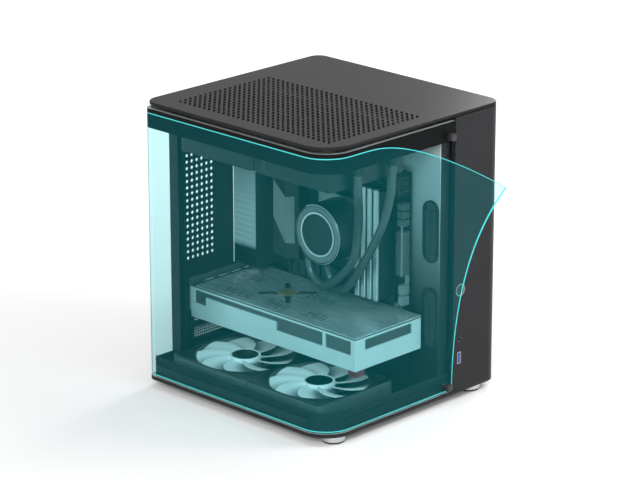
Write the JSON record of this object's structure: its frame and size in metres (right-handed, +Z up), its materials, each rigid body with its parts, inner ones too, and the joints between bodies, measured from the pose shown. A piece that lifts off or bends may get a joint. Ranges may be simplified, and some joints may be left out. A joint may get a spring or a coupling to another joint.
{
  "type": "compact computer tower, assembled",
  "caption": "Compact tower computer with bent-glass side, slotted top cover, liquid cooler, graphics card and a half-peeled protective film.",
  "frame": {"origin": "on the desk, under the middle of the whole bounding box, peeled film corner included", "axes": "+X to the right seen from the front, +Y to the back, +Z up; the front strip with the power button faces -Y and the glass side faces -X"},
  "size_m": [0.286, 0.3694, 0.346],
  "materials": {
    "steel_black": "satin",
    "steel_bright": "satin",
    "foot_metal": "satin",
    "rubber_dark": "matte",
    "plastic_black": "matte",
    "plastic_frosted": "satin",
    "plastic_silver": "satin",
    "plastic_red": "gloss",
    "glass_clear": "gloss",
    "film_blue": "gloss",
    "screw_black": "satin",
    "chrome_bright": "gloss",
    "board_dark": "matte",
    "radiator_black": "matte",
    "aluminium_silver": "satin",
    "aluminium_dark": "satin"
  },
  "bodies": {
    "body": {"top_frame": "steel_black", "base_pan": "steel_black", "feet": "foot_metal", "foot_pads": "rubber_dark", "filter_rails": "steel_black", "rear_wall": "steel_black", "right_shell": "steel_black", "motherboard_tray": "steel_black", "cable_grommets": "rubber_dark", "front_post": "steel_black", "rear_post": "steel_black", "glass_panel": "glass_clear", "glass_seals": "rubber_dark", "protective_film": "film_blue", "glass_screws": "screw_black", "button_ring": "chrome_bright", "usb_socket": "steel_bright", "audio_jack": "plastic_black", "control_board": "board_dark", "base_fan_front": "plastic_black", "base_fan_rear": "plastic_black", "top_fan_front": "plastic_black", "top_fan_rear": "plastic_black", "radiator": "radiator_black", "hose_return": "rubber_dark", "hose_supply": "rubber_dark", "hose_fittings": "plastic_black", "pump": "plastic_black", "pump_ring": "chrome_bright", "pump_bracket": "steel_bright", "motherboard": "board_dark", "memory_sticks": "aluminium_silver", "port_cover": "aluminium_silver", "rear_ports": "steel_bright", "voltage_cooler": "aluminium_dark", "drive_cooler": "aluminium_dark", "power_socket": "plastic_black", "card_shroud": "plastic_silver", "card_cooler": "aluminium_silver", "card_board": "board_dark", "card_back_plate": "aluminium_dark", "card_brace": "steel_bright", "card_corner_block": "plastic_red", "card_bracket": "steel_bright", "slot_covers": "steel_black", "power_supply": "steel_black", "mains_inlet": "plastic_black"},
    "cover": {"top_cover": "steel_black", "cover_studs": "steel_bright"},
    "filter": {"dust_filter": "plastic_black"},
    "button": {"power_button": "plastic_black"},
    "base_fan_front_turning": {"base_rotor_front": "plastic_frosted"},
    "top_fan_front_turning": {"top_rotor_front": "plastic_black"},
    "base_fan_rear_turning": {"base_rotor_rear": "plastic_frosted"},
    "top_fan_rear_turning": {"top_rotor_rear": "plastic_black"},
    "card_fan_1_turning": {"card_rotor_1": "plastic_black"},
    "card_fan_2_turning": {"card_rotor_2": "plastic_black"},
    "card_fan_3_turning": {"card_rotor_3": "plastic_black"},
    "supply_fan_turning": {"supply_rotor": "plastic_black"},
    "rocker": {"supply_switch": "plastic_black"}
  },
  "joints": [
    {"name": "cover_lift", "type": "slide", "parent": "body", "child": "cover", "axis": [0, 0, 1], "range_m": [0, 0.04]},
    {"name": "filter_pull", "type": "slide", "parent": "body", "child": "filter", "axis": [-1, 0, 0], "range_m": [0, 0.13]},
    {"name": "power_press", "type": "slide", "parent": "body", "child": "button", "axis": [0, 1, 0], "range_m": [0, 0.0012], "stiffness_N_per_m": 300, "springref_m": -0.001},
    {"name": "base_fan_front_spin", "type": "hinge", "parent": "body", "child": "base_fan_front_turning", "pos_m": [-0.069, -0.0235, 0.018], "axis": [0, 0, 1], "continuous": true},
    {"name": "top_fan_front_spin", "type": "hinge", "parent": "body", "child": "top_fan_front_turning", "pos_m": [-0.049, -0.0195, 0.3098], "axis": [0, 0, 1], "continuous": true},
    {"name": "base_fan_rear_spin", "type": "hinge", "parent": "body", "child": "base_fan_rear_turning", "pos_m": [-0.069, 0.0965, 0.018], "axis": [0, 0, 1], "continuous": true},
    {"name": "top_fan_rear_spin", "type": "hinge", "parent": "body", "child": "top_fan_rear_turning", "pos_m": [-0.049, 0.1005, 0.3098], "axis": [0, 0, 1], "continuous": true},
    {"name": "card_fan_1_spin", "type": "hinge", "parent": "body", "child": "card_fan_1_turning", "pos_m": [-0.0214, -0.04177, 0.072], "axis": [0, 0, 1], "continuous": true},
    {"name": "card_fan_2_spin", "type": "hinge", "parent": "body", "child": "card_fan_2_turning", "pos_m": [-0.0214, 0.0469, 0.072], "axis": [0, 0, 1], "continuous": true},
    {"name": "card_fan_3_spin", "type": "hinge", "parent": "body", "child": "card_fan_3_turning", "pos_m": [-0.0214, 0.13557, 0.072], "axis": [0, 0, 1], "continuous": true},
    {"name": "supply_fan_spin", "type": "hinge", "parent": "body", "child": "supply_fan_turning", "pos_m": [0.1331, 0.1108, 0.0862], "axis": [1, 0, 0], "continuous": true},
    {"name": "supply_switch_rock", "type": "hinge", "parent": "body", "child": "rocker", "pos_m": [0.0916, 0.1763, 0.0862], "axis": [1, 0, 0], "range_deg": [-12, 12]}
  ]
}
